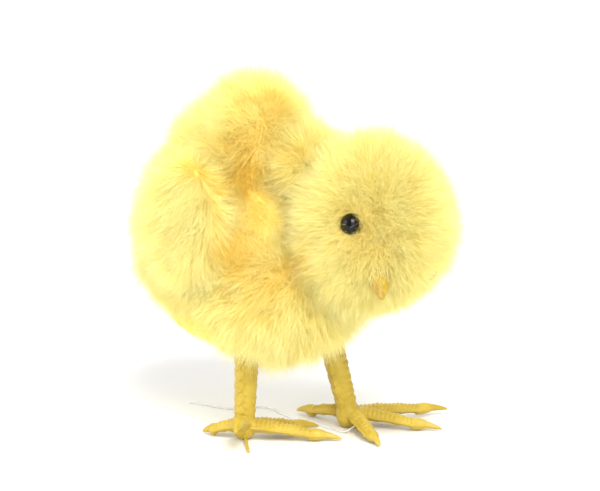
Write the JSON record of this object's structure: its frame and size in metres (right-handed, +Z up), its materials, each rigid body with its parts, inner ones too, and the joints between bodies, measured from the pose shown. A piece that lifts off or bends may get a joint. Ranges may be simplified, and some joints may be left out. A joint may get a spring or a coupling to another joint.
{
  "type": "wind-up hopping chick toy",
  "caption": "Furry wind-up chick that hops: spring motor in a split casing under a fur pelt, key on its left side, moulded bird legs on a rocking yoke.",
  "frame": {"origin": "on the floor, below the middle of the object's box (the thread left out)", "axes": "+X ahead, +Y to the chick's left, +Z up"},
  "size_m": [0.079, 0.0568, 0.0845],
  "materials": {
    "yellow_fur": "long soft pile, pale tips over a golden ground",
    "yellow_vinyl": "moulded soft vinyl, satin",
    "bright_steel": "bright drawn",
    "plated_steel": "nickel plated",
    "blued_spring_steel": "tempered",
    "brass": "stamped",
    "white_nylon": "moulded",
    "yellow_casing": "moulded",
    "black_bead": "polished",
    "ochre_beak": "satin",
    "clear_thread": "clear nylon"
  },
  "bodies": {
    "legs": {"leg_right": "yellow_vinyl", "leg_left": "yellow_vinyl", "leg_wire_right": "bright_steel", "leg_wire_left": "bright_steel", "leg_yoke": "white_nylon", "nylon_thread": "clear_thread"},
    "chick": {"body_shell_left": "yellow_casing", "body_shell_right": "yellow_casing", "shell_screws": "bright_steel", "body_fur": "yellow_fur", "back_fur": "yellow_fur", "wing_left": "yellow_fur", "wing_right": "yellow_fur", "head_fur": "yellow_fur", "head_core_face": "yellow_casing", "head_core_back": "yellow_casing", "eye_right": "black_bead", "eye_left": "black_bead", "eye_washers": "bright_steel", "beak": "ochre_beak", "neck_peg": "yellow_casing", "neck_screw": "bright_steel", "motor_plate_left": "plated_steel", "motor_plate_right": "plated_steel", "motor_pillars": "bright_steel", "motor_screws": "bright_steel", "mainspring": "blued_spring_steel", "key_bush": "white_nylon", "hip_axle": "bright_steel", "axle_clips": "bright_steel"},
    "winding": {"winding_key": "plated_steel", "winding_arbor": "bright_steel", "ratchet_wheel": "brass"},
    "main_wheel": {"main_gear": "brass", "click_spring": "blued_spring_steel"},
    "click_arm": {"click": "brass"},
    "second_wheel": {"second_gear": "white_nylon", "second_shaft": "bright_steel"},
    "crank": {"crank_pinion": "white_nylon", "crank_shaft": "bright_steel", "crank_disc": "white_nylon"}
  },
  "joints": [
    {"name": "hip_rock", "type": "hinge", "parent": "legs", "child": "chick", "pos_m": [-0.0042, -0.00463, 0.03101], "axis": [0, 1, 0], "range_deg": [-9, 9]},
    {"name": "key_turn", "type": "hinge", "parent": "chick", "child": "winding", "pos_m": [-0.0115, -0.00463, 0.04501], "axis": [0, 1, 0], "continuous": true},
    {"name": "main_wheel_turn", "type": "hinge", "parent": "chick", "child": "main_wheel", "pos_m": [-0.0115, -0.00463, 0.04501], "axis": [0, 1, 0], "continuous": true},
    {"name": "second_wheel_turn", "type": "hinge", "parent": "chick", "child": "second_wheel", "pos_m": [-0.01741, -0.00463, 0.03796], "axis": [0, 1, 0], "continuous": true},
    {"name": "crank_turn", "type": "hinge", "parent": "chick", "child": "crank", "pos_m": [-0.01341, -0.00463, 0.03104], "axis": [0, 1, 0], "continuous": true},
    {"name": "click_lift", "type": "hinge", "parent": "main_wheel", "child": "click_arm", "pos_m": [-0.0088, -0.00463, 0.04969], "axis": [0, 1, 0], "range_deg": [0, 14], "stiffness_Nm_per_rad": 0.002}
  ],
  "couplings": [
    {"joint": "main_wheel_turn", "follows": "key_turn", "ratio": 1},
    {"joint": "second_wheel_turn", "follows": "key_turn", "ratio": -3.6},
    {"joint": "crank_turn", "follows": "key_turn", "ratio": 10.8}
  ]
}
